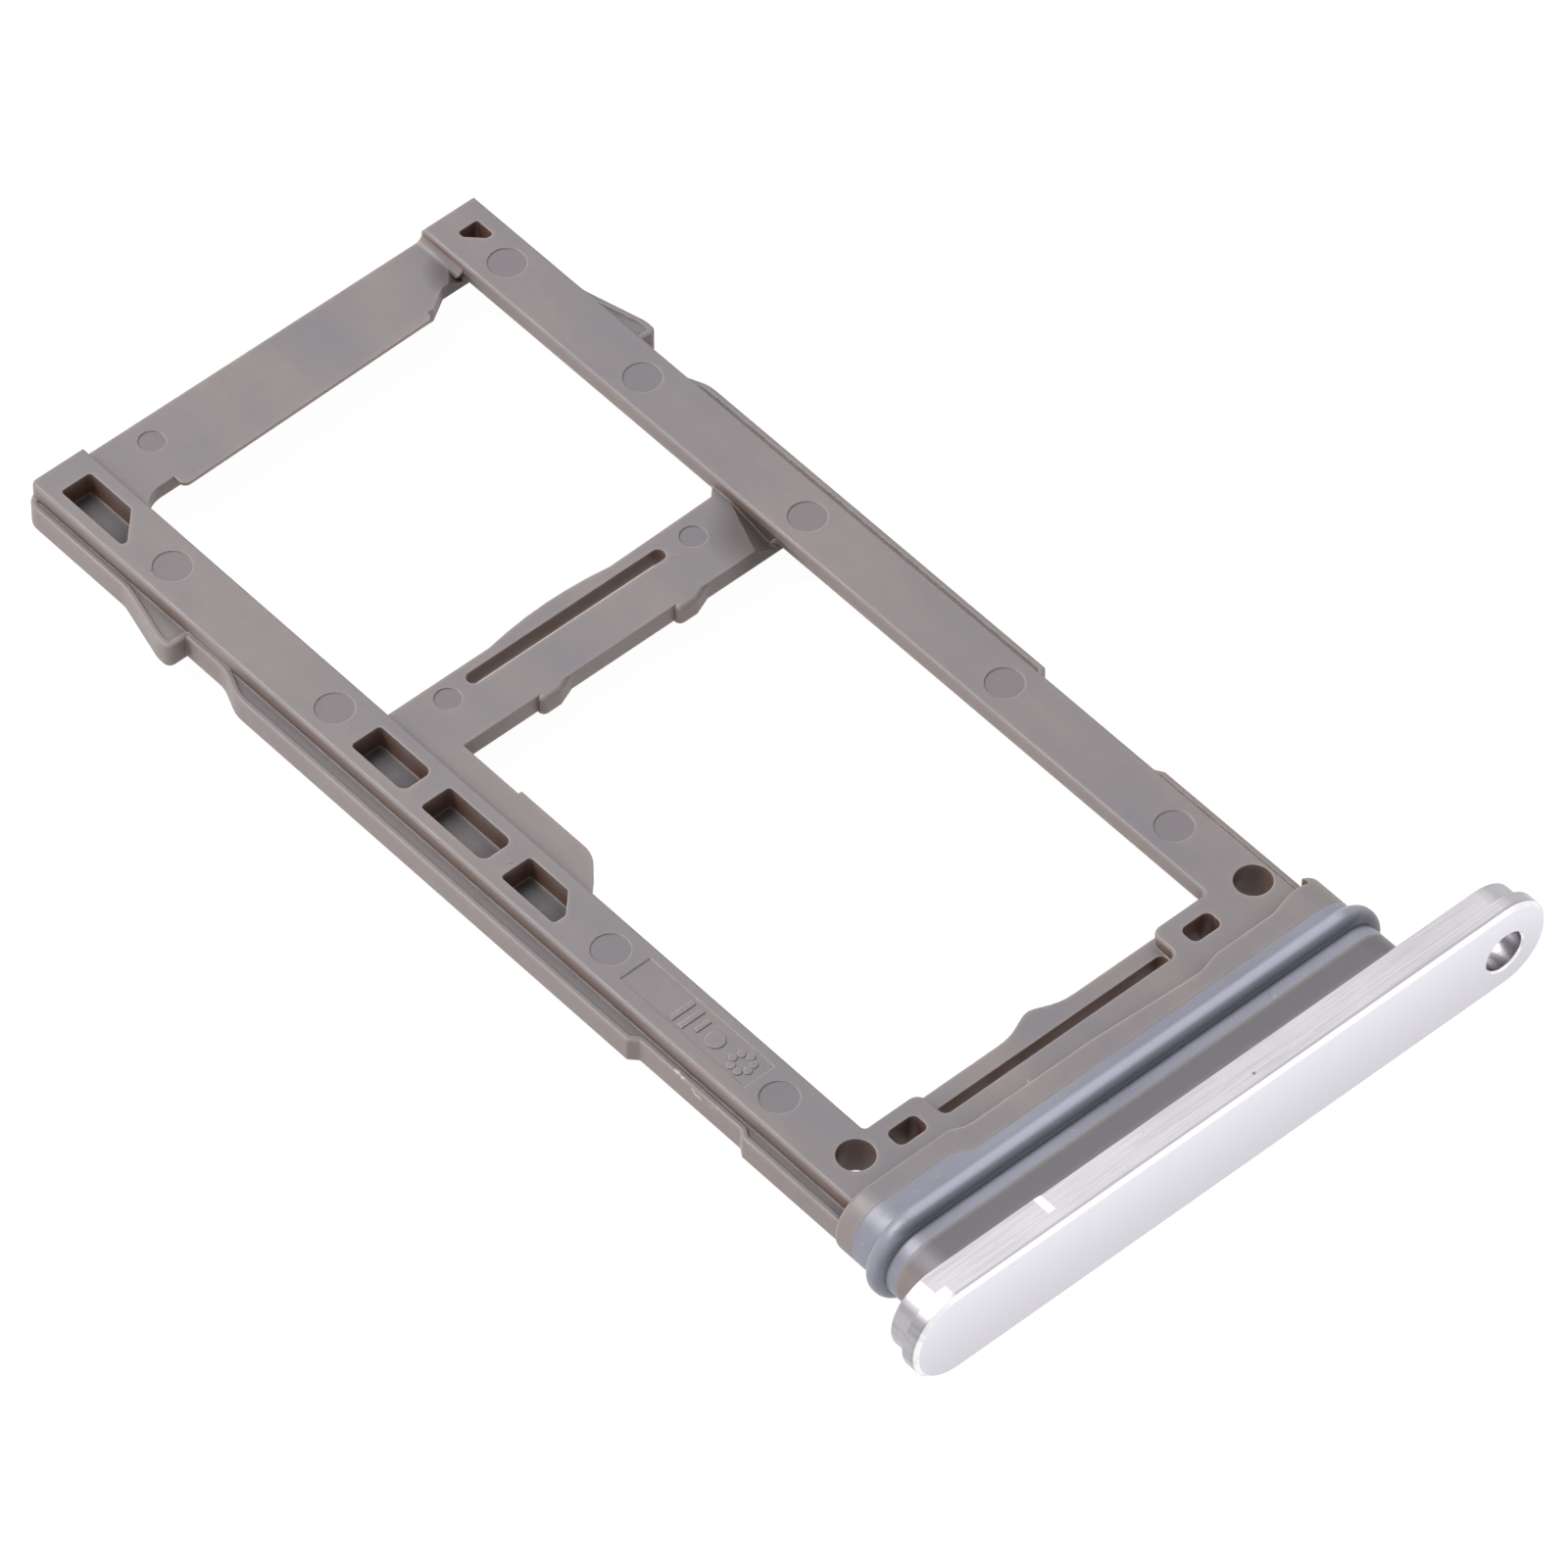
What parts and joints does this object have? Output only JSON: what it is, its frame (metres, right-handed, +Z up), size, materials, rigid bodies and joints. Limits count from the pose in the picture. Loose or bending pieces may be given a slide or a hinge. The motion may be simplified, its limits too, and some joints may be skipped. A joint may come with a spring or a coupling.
{
  "type": "sim card tray",
  "caption": "Removable phone tray that carries a nano-SIM and a microSD card, with a rubber-sealed neck and a metal end cap with an eject pinhole.",
  "frame": {"origin": "bottom centre of the whole tray's box, below the middle of its length, in line with the middle of the end cap", "axes": "+Y from the end cap to the far end of the carrier, +Z up out of the face with the core-outs, +X towards the end with the pinhole"},
  "size_m": [0.0198, 0.0336, 0.0027],
  "materials": {
    "carrier_plastic": "fine matte moulded glass-filled plastic, warm grey",
    "seal_rubber": "smooth blue-grey silicone rubber",
    "cap_metal": "bright anodised aluminium, bead-fine on the front, turned on the bands"
  },
  "bodies": {
    "root": {"card_carrier": "carrier_plastic", "neck_seal": "seal_rubber", "end_cap": "cap_metal"}
  },
  "joints": []
}
